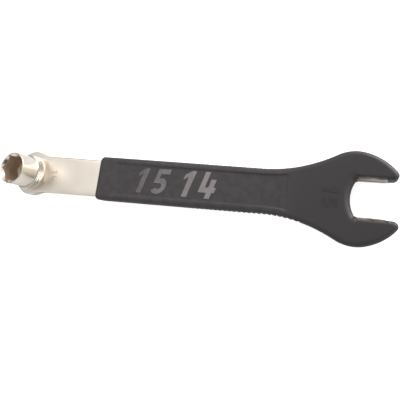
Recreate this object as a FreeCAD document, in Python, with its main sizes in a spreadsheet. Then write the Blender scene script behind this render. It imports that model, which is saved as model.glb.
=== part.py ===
import FreeCAD, Part
import math
import os
import Sketcher

# Pedal wrench for bicycle pedals and crank bolts, in millimetres.
# A flat steel bar has a round eye at one end and an open jaw at the other.
# A hexagon socket stands on the eye, and a black moulding wraps the bar and the jaw.
# Frame: origin on the socket's axis at half the bar's thickness, +X along the wrench
# to the open jaw, +Z out of the socket's mouth. The wrench lies on its back face.

os.makedirs("parts", exist_ok=True)
doc = FreeCAD.newDocument("pedal_wrench")

# Driving sizes: alias, value, meaning
SIZES = [
    ("bar_thick", 5.0, "thickness of the flat steel bar"),
    ("bar_edge", 0.5, "chamfer along the bar's long edges"),
    ("eye_wall", 5.2, "steel of the eye round its bore"),
    ("eye_blend", 12.0, "hollow blend from the eye into the strip"),
    ("strip_half", 11.1, "bar's half width, taken at the socket's axis"),
    ("neck_place", 141.0, "where the handle is narrowest, from the socket's axis"),
    ("neck_half", 10.1, "grip's half width at the neck"),
    ("side_wall", 2.1, "plastic beside the steel at the neck and the head"),
    ("flare_radius", 62.0, "hollow curve from the neck into the head"),
    ("head_run", 37.8, "from the neck to where the head is widest"),
    ("head_half", 19.4, "grip's half width at the head"),
    ("lobe_radius", 14.5, "round of the head's lobes"),
    ("cheek_radius", 22.0, "flatter curve from the lobes to the tips"),
    ("jaw_width", 15.0, "opening between the steel flats"),
    ("prong_end", 4.2, "width of each steel prong at its end"),
    ("prong_short", 3.4, "how far the steel prongs end short of the plastic tips"),
    ("prong_round", 1.5, "round on the inner corner of each prong"),
    ("throat_back", 1.9, "bottom of the jaw, behind the head's widest place"),
    ("throat_curve", 15.0, "hollow curve across the bottom of the jaw"),
    ("throat_corner", 0.8, "small round between that curve and the flats"),
    ("throat_wall", 2.2, "plastic lining over the steel at the bottom of the jaw"),
    ("grip_half_thick", 4.6, "half the thickness of the moulding"),
    ("grip_start", 50.4, "open end of the grip, from the socket's axis"),
    ("grip_half", 11.9, "grip's half width at its open end"),
    ("grip_corner", 2.5, "corner radius of the grip's open end, in plan"),
    ("grip_edge", 2.0, "rounding along the moulding's outer edges"),
    ("tip_past", 1.1, "how far the plastic tips reach past the lobes' round"),
    ("tip_round", 2.3, "radius of the plastic tips"),
    ("tip_length", 4.2, "plastic tips past the end of the bare flats"),
    ("flat_setback", 1.4, "how far the plastic stands back from the steel flats"),
    ("panel_start", 67.0, "near end of the sunk panel"),
    ("panel_past", 9.5, "how far the sunk panel runs on past the neck"),
    ("panel_rim", 3.0, "width of the rim beside the sunk panel"),
    ("panel_depth", 0.5, "depth of the sunk panel"),
    ("panel_corner", 2.0, "corner radius of the sunk panel"),
    ("tooth_before", 35.7, "first grip serration, before the neck"),
    ("tooth_past", 17.5, "last grip serration, past the neck"),
    ("tooth_pitch", 2.34, "spacing of the serrations"),
    ("tooth_radius", 0.9, "radius of each serration's groove"),
    ("tooth_depth", 0.38, "depth of the deepest groove"),
    ("tooth_least", 0.3, "share of that depth at the first groove"),
    ("tooth_margin", 0.15, "how far each groove stops short of the rounded edges"),
    ("socket_height", 15.7, "socket's mouth above the bar's face"),
    ("tube_wall", 1.02, "socket's wall outside the hexagon's corners"),
    ("collar_step", 0.8, "how far the collar at the socket's foot stands out"),
    ("collar_height", 5.0, "height of that collar"),
    ("socket_edge", 0.4, "chamfers on the socket's outer edges"),
    ("hex_width", 14.0, "hexagon across its flats"),
    ("hex_depth", 11.0, "depth of the hexagon"),
    ("lead_in", 0.32, "how far the mouth's lead-in opens past the hexagon's corners"),
    ("bore_ledge", 1.0, "ledge between the hexagon's flats and the bore behind it"),
    ("spigot_wall", 2.0, "wall of the spigot that passes through the eye"),
    ("swage_width", 0.8, "flare of the spigot into the eye's countersink"),
]

# Radii, and places measured from the socket's axis, that follow from those sizes
DERIVED = [
    ("hex_corner", "=hex_width / sqrt(3)", "hexagon's corners"),
    ("mouth_radius", "=hex_corner + lead_in", "outer edge of the lead-in"),
    ("tube_radius", "=hex_corner + tube_wall", "outside of the socket"),
    ("collar_radius", "=tube_radius + collar_step", "outside of the collar"),
    ("bore_radius", "=hex_width / 2 - bore_ledge", "round bore behind the hexagon"),
    ("spigot_radius", "=bore_radius + spigot_wall", "spigot, and the bore of the eye"),
    ("eye_radius", "=spigot_radius + eye_wall", "outside of the round eye"),
    ("head_place", "=neck_place + head_run", "where the head is widest"),
    ("tip_reach", "=head_place + lobe_radius + tip_past", "ends of the plastic tips"),
    ("prong_reach", "=tip_reach - prong_short", "ends of the steel prongs"),
    ("throat_place", "=head_place - throat_back", "bottom of the jaw"),
    ("curve_place", "=throat_place + throat_curve", "centre of the jaw's hollow curve"),
    ("flat_run", "=sqrt((throat_curve - throat_corner)^2 - (jaw_width / 2 - throat_corner)^2)",
     "from that centre back to where the flats begin"),
    ("flat_start", "=curve_place - flat_run", "where the flats begin"),
    ("steel_curve", "=throat_curve + throat_wall", "the same hollow curve on the steel"),
    ("steel_corner", "=(steel_curve^2 - jaw_width^2 / 4 - flat_run^2) / (2 * steel_curve - jaw_width)",
     "the steel's corner, which touches the flats where the lining ends"),
    ("flat_end", "=tip_reach - tip_length", "where the plastic tips begin"),
    ("panel_end", "=neck_place + panel_past", "far end of the sunk panel"),
    ("tooth_first", "=neck_place - tooth_before", "first grip serration"),
    ("tooth_last", "=neck_place + tooth_past", "last grip serration"),
]

sheet = doc.addObject("Spreadsheet::Sheet", "sizes")
for row, (alias, content, meaning) in enumerate(SIZES + DERIVED, start=1):
    sheet.set("A%d" % row, alias)
    sheet.set("B%d" % row, str(content))
    sheet.set("C%d" % row, meaning)
    sheet.setAlias("B%d" % row, alias)
doc.recompute()

# Two places nearer to each other than this are taken as one
NEAR = 0.001


def size(alias):
    """The value of one cell of the sheet."""
    return float(sheet.get(alias))


def vec(point, z=0.0):
    return FreeCAD.Vector(point[0], point[1], z)


def origin_plane(body, role):
    """One of the body's own origin planes, found by its role."""
    for feature in body.Origin.OriginFeatures:
        if feature.Role == role:
            return feature
    raise ValueError(role)


def new_body(label):
    body = doc.addObject("PartDesign::Body", label)
    body.Label = label
    return body


def new_sketch(body, name, role, height=None):
    """A sketch on an origin plane of its body, lifted to a height where one is given."""
    sketch = body.newObject("Sketcher::SketchObject", name)
    sketch.AttachmentSupport = [(origin_plane(body, role), "")]
    sketch.MapMode = "FlatFace"
    if height:
        sketch.setExpression("AttachmentOffset.Base.z", height)
    return sketch


def new_feature(body, kind, name, sketch, **lengths):
    """A PartDesign feature on a sketch, with its lengths bound to expressions."""
    feature = body.newObject("PartDesign::" + kind, name)
    feature.Profile = sketch
    feature.Refine = True
    for key, formula in lengths.items():
        feature.setExpression(key, formula)
    return feature


def mirror(body, name, originals, role):
    """Copies features across an origin plane and makes the result the body's tip."""
    copy = body.newObject("PartDesign::Mirrored", name)
    copy.Originals = originals
    copy.MirrorPlane = (origin_plane(body, role), [""])
    copy.Refine = True
    body.Tip = copy
    doc.recompute()
    return copy


# Sketch outlines: a chain of lines and arcs, each drawn from its start to its end

def line(start, end):
    return {"start": start, "end": end}


def arc(centre, start, end, clockwise):
    return {"start": start, "end": end, "centre": centre, "clockwise": clockwise}


def draw_chain(sketch, pieces, smooth):
    """Draws a closed chain. Joints listed in smooth are tangent, the others only meet.

    Joint i lies between piece i and the one after it. Returns, for each piece, its index and
    the ids of its start and end points.
    """
    drawn = []
    for piece in pieces:
        if "centre" in piece:
            first, last = piece["start"], piece["end"]
            if piece["clockwise"]:
                first, last = last, first
            middle = piece["centre"]
            radius = math.dist(middle, first)
            circle = Part.Circle(vec(middle), FreeCAD.Vector(0, 0, 1), radius)
            low = math.atan2(first[1] - middle[1], first[0] - middle[0])
            high = math.atan2(last[1] - middle[1], last[0] - middle[0])
            index = sketch.addGeometry(Part.ArcOfCircle(circle, low, high), False)
            drawn.append((index, 2, 1) if piece["clockwise"] else (index, 1, 2))
        else:
            edge = Part.LineSegment(vec(piece["start"]), vec(piece["end"]))
            drawn.append((sketch.addGeometry(edge, False), 1, 2))
    for joint, (index, _, last) in enumerate(drawn):
        following, first, _ = drawn[(joint + 1) % len(drawn)]
        kind = "Tangent" if joint in smooth else "Coincident"
        sketch.addConstraint(Sketcher.Constraint(kind, index, last, following, first))
    return drawn


def bind(sketch, kind, *places, to):
    """A dimension of the sketch bound to an expression on the sheet."""
    value = float(sketch.evalExpression(to))
    number = sketch.addConstraint(Sketcher.Constraint(kind, *places, value))
    sketch.setExpression("Constraints[%d]" % number, to)


def bind_place(sketch, index, point, x=None, y=None):
    """Places a point of the sketch by its distances from the sketch's origin."""
    if x is not None:
        bind(sketch, "DistanceX", -1, 1, index, point, to=x)
    if y is not None:
        bind(sketch, "DistanceY", -1, 1, index, point, to=y)


def aim(sketch, index, places):
    """Makes a line run through construction points that the sheet places."""
    for x, y, start in places:
        point = sketch.addGeometry(Part.Point(vec(start)), True)
        bind_place(sketch, point, 1, x, y)
        sketch.addConstraint(Sketcher.Constraint("PointOnObject", point, 1, index))


def polygon(sketch, corners):
    """A closed outline of straight lines whose corners are all placed by the sheet."""
    places = [
        (float(sketch.evalExpression(x)), float(sketch.evalExpression(y))) for x, y in corners
    ]
    pieces = [line(a, b) for a, b in zip(places, places[1:] + places[:1])]
    drawn = draw_chain(sketch, pieces, smooth=set())
    for (index, first, _), (x, y) in zip(drawn, corners):
        bind_place(sketch, index, first, x, y)
    return drawn


def pick_edges(feature, wanted):
    """Names of the edges whose middle point passes a test."""
    names = []
    for number, edge in enumerate(feature.Shape.Edges, start=1):
        if wanted(edge.discretize(3)[1], edge):
            names.append("Edge%d" % number)
    return names


def dress(body, kind, name, base, names, formula):
    """A Fillet or Chamfer on chosen edges of the feature before it."""
    feature = body.newObject("PartDesign::" + kind, name)
    feature.Base = (base, names)
    feature.setExpression("Radius" if kind == "Fillet" else "Size", formula)
    feature.Refine = True
    doc.recompute()
    return feature


# Tangent curves of the outline. These place the sketches' points before the sketches solve.

def along(start, end):
    """Unit vector from one point to another."""
    length = math.dist(start, end)
    return ((end[0] - start[0]) / length, (end[1] - start[1]) / length)


def towards(start, end, distance):
    """The point at a distance from start on the way to end."""
    step = along(start, end)
    return (start[0] + step[0] * distance, start[1] + step[1] * distance)


def touch_line(edge, hollow, centre, reach, before):
    """Centre of a hollow curve that touches an edge from above.

    The centre lies at distance hollow from the edge and at distance reach from the given
    centre. Of the two such places the earlier or the later one along the edge is taken.
    """
    step = along(*edge)
    base = (edge[0][0] - step[1] * hollow, edge[0][1] + step[0] * hollow)
    gap = (base[0] - centre[0], base[1] - centre[1])
    half = gap[0] * step[0] + gap[1] * step[1]
    root = math.sqrt(half ** 2 - (gap[0] ** 2 + gap[1] ** 2 - reach ** 2))
    travel = -half - root if before else -half + root
    return (base[0] + step[0] * travel, base[1] + step[1] * travel)


def foot_on_line(edge, point):
    """The point of an edge nearest to a given point."""
    step = along(*edge)
    travel = (point[0] - edge[0][0]) * step[0] + (point[1] - edge[0][1]) * step[1]
    return (edge[0][0] + step[0] * travel, edge[0][1] + step[1] * travel)


def two_circles(first, first_radius, second, second_radius):
    """The lower left of the two points where two circles cross."""
    span = math.dist(first, second)
    step = along(first, second)
    travel = (first_radius ** 2 - second_radius ** 2 + span ** 2) / (2 * span)
    side = math.sqrt(first_radius ** 2 - travel ** 2)
    base = (first[0] + step[0] * travel, first[1] + step[1] * travel)
    choices = [
        (base[0] - step[1] * side, base[1] + step[0] * side),
        (base[0] + step[1] * side, base[1] - step[0] * side),
    ]
    return min(choices, key=lambda point: point[0] + point[1])


def tangent_from(point, centre, radius):
    """Where the upper tangent from a point to the right of a circle touches it."""
    span = math.dist(point, centre)
    aim_angle = math.atan2(point[1] - centre[1], point[0] - centre[0])
    turn = aim_angle + math.acos(radius / span)
    return (centre[0] + radius * math.cos(turn), centre[1] + radius * math.sin(turn))


# Places that the bar and the grip share

JAW_HALF = "sizes.jaw_width / 2"
LOBE_X = "sizes.head_place"
LOBE_Y = "sizes.head_half - sizes.lobe_radius"
jaw_half = size("jaw_width") / 2
lobe_centre = (size("head_place"), size("head_half") - size("lobe_radius"))
neck_point = (size("neck_place"), size("neck_half"))


# The steel bar: eye, tapering strip and shank, and the two prongs of the jaw

def bar_outline(sketch):
    """Upper half of the bar's outline, closed along the wrench's middle line."""
    wall = size("side_wall")
    eye = size("eye_radius")
    edge = ((0.0, size("strip_half")), (neck_point[0], neck_point[1] - wall))
    blend = size("eye_blend")
    blend_centre = touch_line(edge, blend, (0.0, 0.0), eye + blend, before=False)
    eye_touch = towards((0.0, 0.0), blend_centre, eye)
    strip_touch = foot_on_line(edge, blend_centre)
    flare = size("flare_radius") + wall
    lobe = size("lobe_radius") - wall
    flare_centre = touch_line(edge, flare, lobe_centre, flare + lobe, before=True)
    shank_touch = foot_on_line(edge, flare_centre)
    lobe_touch = towards(lobe_centre, flare_centre, lobe)
    reach = size("prong_reach")
    prong_corner = (reach, jaw_half + size("prong_end"))
    cheek_touch = tangent_from(prong_corner, lobe_centre, lobe)
    tip = size("prong_round")
    middle = (size("curve_place"), 0.0)
    curve = size("steel_curve")
    flat = (size("flat_start"), jaw_half)
    corner = (flat[0], jaw_half - size("steel_corner"))
    throat_touch = towards(middle, corner, curve)
    pieces = [
        arc((0.0, 0.0), (-eye, 0.0), eye_touch, clockwise=True),
        arc(blend_centre, eye_touch, strip_touch, clockwise=False),
        line(strip_touch, shank_touch),
        arc(flare_centre, shank_touch, lobe_touch, clockwise=False),
        arc(lobe_centre, lobe_touch, cheek_touch, clockwise=True),
        line(cheek_touch, prong_corner),
        line(prong_corner, (reach, jaw_half + tip)),
        arc((reach - tip, jaw_half + tip), (reach, jaw_half + tip), (reach - tip, jaw_half), True),
        line((reach - tip, jaw_half), flat),
        arc(corner, flat, throat_touch, clockwise=False),
        arc(middle, throat_touch, (middle[0] - curve, 0.0), clockwise=False),
        line((middle[0] - curve, 0.0), (-eye, 0.0)),
    ]
    drawn = draw_chain(sketch, pieces, smooth={0, 1, 2, 3, 4, 6, 7, 8, 9})
    index = [entry[0] for entry in drawn]
    sketch.addConstraint(Sketcher.Constraint("Vertical", index[6]))
    sketch.addConstraint(Sketcher.Constraint("Horizontal", index[8]))
    sketch.addConstraint(Sketcher.Constraint("Horizontal", index[11]))
    sketch.addConstraint(Sketcher.Constraint("Coincident", index[0], 3, -1, 1))
    aim(sketch, index[2], [
        ("0", "sizes.strip_half", edge[0]),
        ("sizes.neck_place", "sizes.neck_half - sizes.side_wall", edge[1]),
    ])
    bind(sketch, "Radius", index[0], to="sizes.eye_radius")
    bind(sketch, "Radius", index[1], to="sizes.eye_blend")
    bind(sketch, "Radius", index[3], to="sizes.flare_radius + sizes.side_wall")
    bind(sketch, "Radius", index[4], to="sizes.lobe_radius - sizes.side_wall")
    bind(sketch, "Radius", index[7], to="sizes.prong_round")
    bind(sketch, "Radius", index[9], to="sizes.steel_corner")
    bind(sketch, "Radius", index[10], to="sizes.steel_curve")
    bind_place(sketch, index[4], 3, LOBE_X, LOBE_Y)
    bind_place(sketch, index[6], 1, "sizes.prong_reach", JAW_HALF + " + sizes.prong_end")
    bind_place(sketch, index[8], 1, y=JAW_HALF)
    bind_place(sketch, index[10], 3, "sizes.curve_place", "0")
    bind_place(sketch, index[11], 1, y="0")


def make_bar():
    body = new_body("bar")
    outline = new_sketch(body, "bar_outline", "XY_Plane")
    bar_outline(outline)
    plate = new_feature(body, "Pad", "bar_plate", outline, Length="sizes.bar_thick")
    plate.Midplane = True
    doc.recompute()
    whole = mirror(body, "bar_both_sides", [plate], "XZ_Plane")
    half = size("bar_thick") / 2
    throat = size("curve_place") - size("steel_curve")
    prong = jaw_half + size("prong_end")

    def outer(point, edge):
        in_jaw = point.x > throat - NEAR and abs(point.y) < prong
        return abs(abs(point.z) - half) < NEAR and not in_jaw

    dress(body, "Chamfer", "bar_edges", whole, pick_edges(whole, outer), "sizes.bar_edge")
    bore = new_sketch(body, "eye_circle", "XY_Plane")
    rim = bore.addGeometry(Part.Circle(vec((0, 0)), FreeCAD.Vector(0, 0, 1), 1.0), False)
    bore.addConstraint(Sketcher.Constraint("Coincident", rim, 3, -1, 1))
    bind(bore, "Radius", rim, to="sizes.spigot_radius")
    eye = new_feature(body, "Pocket", "eye_bore", bore)
    eye.Type = "ThroughAll"
    eye.Midplane = True
    doc.recompute()

    def back_rim(point, edge):
        inside = math.hypot(point.x, point.y) < size("spigot_radius") + NEAR
        return inside and abs(point.z + half) < NEAR

    dress(body, "Chamfer", "eye_countersink", eye, pick_edges(eye, back_rim), "sizes.swage_width")
    return body


bar = make_bar()


# The hexagon socket: a turned tube with a collar, its spigot swaged into the eye

FACE = "sizes.bar_thick / 2"
MOUTH = FACE + " + sizes.socket_height"
SHELF = MOUTH + " - sizes.hex_depth"


def make_socket():
    body = new_body("socket")
    profile = new_sketch(body, "socket_profile", "XZ_Plane")
    step = "sizes.socket_edge"
    swage = "sizes.swage_width"
    collar_top = FACE + " + sizes.collar_height"
    slope = "(sizes.mouth_radius - sizes.hex_width / 2)"
    polygon(profile, [
        ("sizes.bore_radius", "-" + FACE),
        ("sizes.spigot_radius + " + swage, "-" + FACE),
        ("sizes.spigot_radius", "-" + FACE + " + " + swage),
        ("sizes.spigot_radius", FACE),
        ("sizes.collar_radius", FACE),
        ("sizes.collar_radius", collar_top + " - " + step),
        ("sizes.collar_radius - " + step, collar_top),
        ("sizes.tube_radius", collar_top),
        ("sizes.tube_radius", MOUTH + " - " + step),
        ("sizes.tube_radius - " + step, MOUTH),
        ("sizes.mouth_radius", MOUTH),
        ("sizes.hex_width / 2", MOUTH + " - " + slope),
        ("sizes.hex_width / 2", SHELF),
        ("sizes.bore_radius", SHELF + " - sizes.bore_ledge"),
    ])
    turned = new_feature(body, "Revolution", "socket_turned", profile)
    turned.ReferenceAxis = (profile, ["V_Axis"])
    turned.Angle = 360
    doc.recompute()
    outline = new_sketch(body, "hexagon", "XY_Plane", MOUTH)
    corner = size("hex_corner")
    turns = [math.radians(60 * i) for i in range(6)]
    points = [(corner * math.cos(a), corner * math.sin(a)) for a in turns]
    sides = [line(a, b) for a, b in zip(points, points[1:] + points[:1])]
    drawn = draw_chain(outline, sides, smooth=set())
    circle = Part.Circle(vec((0, 0)), FreeCAD.Vector(0, 0, 1), corner)
    guide = outline.addGeometry(circle, True)
    outline.addConstraint(Sketcher.Constraint("Coincident", guide, 3, -1, 1))
    bind(outline, "Radius", guide, to="sizes.hex_corner")
    for index, first, _ in drawn:
        outline.addConstraint(Sketcher.Constraint("PointOnObject", index, first, guide))
    for index, _, _ in drawn[1:]:
        outline.addConstraint(Sketcher.Constraint("Equal", drawn[0][0], index))
    outline.addConstraint(Sketcher.Constraint("PointOnObject", drawn[0][0], 1, -1))
    before = turned.Shape.Volume
    broached = new_feature(body, "Pocket", "socket_hexagon", outline, Length="sizes.hex_depth")
    doc.recompute()
    if broached.Shape.Volume > before - NEAR:
        raise RuntimeError("the hexagon cuts nothing")
    return body


# The grip: one moulding over the shank and the whole head

def grip_chain():
    """Centres and touching points of the grip's outline, upper half."""
    edge = ((size("grip_start"), size("grip_half")), neck_point)
    corner = size("grip_corner")
    step = along(*edge)
    start = size("grip_start")
    corner_centre = (start + corner, edge[0][1] + (step[1] * corner - corner) / step[0])
    flare = size("flare_radius")
    lobe = size("lobe_radius")
    flare_centre = touch_line(edge, flare, lobe_centre, flare + lobe, before=True)
    tip = size("tip_round")
    cheek = size("cheek_radius")
    tip_centre = (size("tip_reach") - tip, jaw_half + tip)
    cheek_centre = two_circles(lobe_centre, cheek - lobe, tip_centre, cheek - tip)
    return {
        "edge": edge,
        "corner_centre": corner_centre,
        "flare_centre": flare_centre,
        "flare_start": foot_on_line(edge, flare_centre),
        "lobe_start": towards(lobe_centre, flare_centre, lobe),
        "cheek_centre": cheek_centre,
        "cheek_start": towards(cheek_centre, lobe_centre, cheek),
        "tip_centre": tip_centre,
        "tip_start": towards(cheek_centre, tip_centre, cheek),
    }


def grip_outline(sketch):
    """Upper half of the moulding's outline, closed along the wrench's middle line."""
    curve = grip_chain()
    start = size("grip_start")
    corner = curve["corner_centre"]
    corner_foot = foot_on_line(curve["edge"], corner)
    tip = curve["tip_centre"]
    middle = (size("curve_place"), 0.0)
    throat = (size("throat_place"), 0.0)
    flat = (size("flat_start"), jaw_half)
    inner = (flat[0], jaw_half - size("throat_corner"))
    throat_touch = towards(middle, inner, size("throat_curve"))
    pieces = [
        line((start, 0.0), (start, corner[1])),
        arc(corner, (start, corner[1]), corner_foot, clockwise=True),
        line(corner_foot, curve["flare_start"]),
        arc(curve["flare_centre"], curve["flare_start"], curve["lobe_start"], clockwise=False),
        arc(lobe_centre, curve["lobe_start"], curve["cheek_start"], clockwise=True),
        arc(curve["cheek_centre"], curve["cheek_start"], curve["tip_start"], clockwise=True),
        arc(tip, curve["tip_start"], (tip[0], jaw_half), clockwise=True),
        line((tip[0], jaw_half), flat),
        arc(inner, flat, throat_touch, clockwise=False),
        arc(middle, throat_touch, throat, clockwise=False),
        line(throat, (start, 0.0)),
    ]
    drawn = draw_chain(sketch, pieces, smooth={0, 1, 2, 3, 4, 5, 6, 7, 8})
    index = [entry[0] for entry in drawn]
    sketch.addConstraint(Sketcher.Constraint("Vertical", index[0]))
    for number in (7, 10):
        sketch.addConstraint(Sketcher.Constraint("Horizontal", index[number]))
    aim(sketch, index[2], [
        ("sizes.grip_start", "sizes.grip_half", curve["edge"][0]),
        ("sizes.neck_place", "sizes.neck_half", curve["edge"][1]),
    ])
    bind(sketch, "Radius", index[1], to="sizes.grip_corner")
    bind(sketch, "Radius", index[3], to="sizes.flare_radius")
    bind(sketch, "Radius", index[4], to="sizes.lobe_radius")
    bind(sketch, "Radius", index[5], to="sizes.cheek_radius")
    bind(sketch, "Radius", index[6], to="sizes.tip_round")
    bind(sketch, "Radius", index[8], to="sizes.throat_corner")
    bind(sketch, "Radius", index[9], to="sizes.throat_curve")
    bind_place(sketch, index[0], 1, "sizes.grip_start", "0")
    bind_place(sketch, index[4], 3, LOBE_X, LOBE_Y)
    bind_place(sketch, index[6], 3, "sizes.tip_reach - sizes.tip_round",
               JAW_HALF + " + sizes.tip_round")
    bind_place(sketch, index[9], 3, "sizes.curve_place", "0")


SKIN = "sizes.grip_half_thick"


def rim_half(place):
    """Half width of the sunk panel at a place along the grip, as an expression."""
    slope = "(sizes.grip_half - sizes.neck_half) / (sizes.neck_place - sizes.grip_start)"
    return "sizes.grip_half - (%s - sizes.grip_start) * %s - sizes.panel_rim" % (place, slope)


def grip_grooves():
    """Round grooves across both side walls, deeper towards the head."""
    curve = grip_chain()
    first, last = size("tooth_first"), size("tooth_last")
    radius = size("tooth_radius")
    least = size("tooth_least")
    half = size("grip_half_thick") - size("grip_edge") - size("tooth_margin")
    flare = size("flare_radius")
    step = along(*curve["edge"])
    count = int((last - first) / size("tooth_pitch")) + 1
    grooves = []
    for number in range(count):
        x = first + number * size("tooth_pitch")
        share = least + (1 - least) * (x - first) / (last - first)
        depth = size("tooth_depth") * share
        if x < curve["flare_start"][0]:
            y = curve["edge"][0][1] + (x - curve["edge"][0][0]) * step[1] / step[0]
            outward = (-step[1], step[0])
        else:
            middle = curve["flare_centre"]
            y = middle[1] - math.sqrt(flare ** 2 - (x - middle[0]) ** 2)
            outward = along((x, y), middle)
        away = radius - depth
        centre = (x + outward[0] * away, y + outward[1] * away)
        for side in (1, -1):
            foot = FreeCAD.Vector(centre[0], side * centre[1], -half)
            grooves.append(Part.makeCylinder(radius, 2 * half, foot))
    return Part.makeCompound(grooves)


def make_grip():
    body = new_body("grip_moulding")
    outline = new_sketch(body, "grip_outline", "XY_Plane")
    grip_outline(outline)
    block = new_feature(body, "Pad", "grip_block", outline, Length="2 * " + SKIN)
    block.Midplane = True
    doc.recompute()
    whole = mirror(body, "grip_both_sides", [block], "XZ_Plane")
    top = size("grip_half_thick")
    rims = pick_edges(whole, lambda point, edge: abs(abs(point.z) - top) < NEAR)
    dress(body, "Fillet", "grip_edges", whole, rims, "sizes.grip_edge")

    window = new_sketch(body, "flats_window", "XY_Plane")
    back = JAW_HALF + " + sizes.flat_setback"
    begin = "sizes.flat_start"
    polygon(window, [
        (begin, "-(%s)" % back),
        ("sizes.flat_end", "-(%s)" % back),
        ("sizes.flat_end", back),
        (begin, back),
    ])
    bare = new_feature(body, "Pocket", "flats_bare", window)
    bare.Type = "ThroughAll"
    bare.Midplane = True
    doc.recompute()

    panel = new_sketch(body, "panel_outline", "XY_Plane", SKIN)
    near, far = rim_half("sizes.panel_start"), rim_half("sizes.panel_end")
    polygon(panel, [
        ("sizes.panel_start", "-(%s)" % near),
        ("sizes.panel_end", "-(%s)" % far),
        ("sizes.panel_end", far),
        ("sizes.panel_start", near),
    ])
    sunk = new_feature(body, "Pocket", "panel_front", panel, Length="sizes.panel_depth")
    doc.recompute()
    both = mirror(body, "panel_both_faces", [sunk], "XY_Plane")

    def upright(point, edge):
        tall = abs(edge.BoundBox.ZLength - size("panel_depth")) < NEAR
        return tall and size("panel_start") - NEAR < point.x < size("panel_end") + NEAR

    dress(body, "Fillet", "panel_corners", both, pick_edges(both, upright), "sizes.panel_corner")
    return body


socket = make_socket()
grip = make_grip()


# The grip's grooves and the bar's own shape are taken out of the moulding

teeth = doc.addObject("Part::Feature", "grip_grooves")
teeth.Label = "grip_grooves"
teeth.Shape = grip_grooves()

grooved = doc.addObject("Part::Cut", "grip_grooved")
grooved.Base = grip
grooved.Tool = teeth

overmould = doc.addObject("Part::Cut", "grip")
overmould.Label = "grip"
overmould.Base = grooved
overmould.Tool = bar
doc.recompute()


# Every object of the document is checked before anything is written

PARTS = [bar, socket, overmould]

for thing in doc.Objects:
    if "Invalid" in thing.State or "Error" in thing.State:
        raise RuntimeError("%s is not valid" % thing.Name)
for part in PARTS:
    if part.Shape.isNull() or not part.Shape.isValid():
        raise RuntimeError("%s has no sound shape" % part.Label)
for part in PARTS:
    part.Shape.exportStep(os.path.join("parts", part.Label + ".step"))
    print(part.Label, round(part.Shape.Volume, 1), "mm3")
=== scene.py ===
import math

import bmesh
import bpy
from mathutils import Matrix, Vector
import numpy as np


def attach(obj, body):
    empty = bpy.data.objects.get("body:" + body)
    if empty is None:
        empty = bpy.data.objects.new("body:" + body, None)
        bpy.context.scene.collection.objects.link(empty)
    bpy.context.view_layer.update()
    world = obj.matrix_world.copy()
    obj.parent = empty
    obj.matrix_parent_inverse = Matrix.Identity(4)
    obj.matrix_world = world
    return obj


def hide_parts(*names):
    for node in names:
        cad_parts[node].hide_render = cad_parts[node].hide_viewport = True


# A pedal wrench: a flat plated bar, a turned hexagon socket on its eye, and a moulded grip.
# Sizes below are in millimetres and become metres where a mesh is made. The frame is the CAD
# model's: the socket's axis is Z, the wrench runs along +X, and z = 0 is the bar's middle.

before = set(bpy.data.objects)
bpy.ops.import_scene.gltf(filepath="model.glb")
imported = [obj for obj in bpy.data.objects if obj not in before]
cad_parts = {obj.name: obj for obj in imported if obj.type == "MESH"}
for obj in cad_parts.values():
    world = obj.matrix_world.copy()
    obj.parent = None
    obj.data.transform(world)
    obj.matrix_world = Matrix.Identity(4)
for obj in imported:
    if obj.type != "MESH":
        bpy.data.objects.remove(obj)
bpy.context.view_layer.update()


# The bar. On the real wrench it is stamped in one piece from 5 mm strip, with its edges
# tumbled round, and then nickel plated: an eye, a tapering strip, a shank that runs inside
# the grip, and two prongs whose inner flats stay bare.

MM = 0.001


def arc(centre, radius, start, end, count=48):
    """Points on a circle at equal angles in degrees: centre + radius * (cos a, sin a)."""
    a = np.radians(np.linspace(start, end, count))
    return np.stack([centre[0] + radius * np.cos(a), centre[1] + radius * np.sin(a)], 1)


def bearing(centre, point):
    """Direction from a centre to a point, in degrees."""
    return math.degrees(math.atan2(point[1] - centre[1], point[0] - centre[0]))


def touching(edge, hollow, centre, reach, later):
    """Centre of a hollow arc that touches a straight edge and a round.

    It lies at distance hollow beside the edge and at distance reach from the round's centre:
    base + t * step, with t a root of the circle's quadratic.
    """
    (x0, y0), (x1, y1) = edge
    step = np.array([x1 - x0, y1 - y0]) / math.hypot(x1 - x0, y1 - y0)
    base = np.array([x0 - step[1] * hollow, y0 + step[0] * hollow])
    gap = base - np.array(centre)
    half = gap @ step
    root = math.sqrt(half ** 2 - (gap @ gap - reach ** 2))
    return base + step * (-half + root if later else -half - root)


def foot(edge, point):
    """The point of a straight edge nearest to a given point."""
    start = np.array(edge[0], float)
    step = (np.array(edge[1]) - start) / np.linalg.norm(np.array(edge[1]) - start)
    return start + step * ((np.array(point) - start) @ step)


def rail(runs):
    """One side of a plate: each run of points is walked at the given shares of its length."""
    walked = []
    for points, shares in runs:
        points = np.array(points, float)
        length = np.r_[0, np.cumsum(np.linalg.norm(np.diff(points, axis=0), axis=1))]
        at = np.asarray(shares) * length[-1]
        walked.append(np.stack([np.interp(at, length, points[:, i]) for i in (0, 1)], 1))
    return np.concatenate(walked)


def even(count, last=False):
    """Equal shares of a run, from 0 and, only where asked, up to and with 1."""
    return np.linspace(0, 1, count + last, endpoint=last)


def far_from(points, line):
    """Distance from each point to the nearest segment of a line, all at once."""
    a, b = line[:-1], line[1:]
    keep = np.linalg.norm(b - a, axis=1) > 1e-9
    a, b = a[keep], b[keep]
    span = b - a
    size = (span ** 2).sum(1)
    parts = []
    for block in np.array_split(points, max(1, len(points) * len(a) // 4000000)):
        gap = block[:, None] - a
        share = np.clip((gap * span).sum(2) / size, 0, 1)
        parts.append(np.linalg.norm(gap - share[..., None] * span, axis=2).min(1))
    return np.concatenate(parts)


def rounding(distance, radius):
    """How far a quarter round has fallen at a distance from its edge: r - sqrt(r^2 - (r-d)^2)."""
    reach = radius - np.clip(distance, 0, radius)
    return radius - np.sqrt(np.clip(radius ** 2 - reach ** 2, 0, None))


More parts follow.
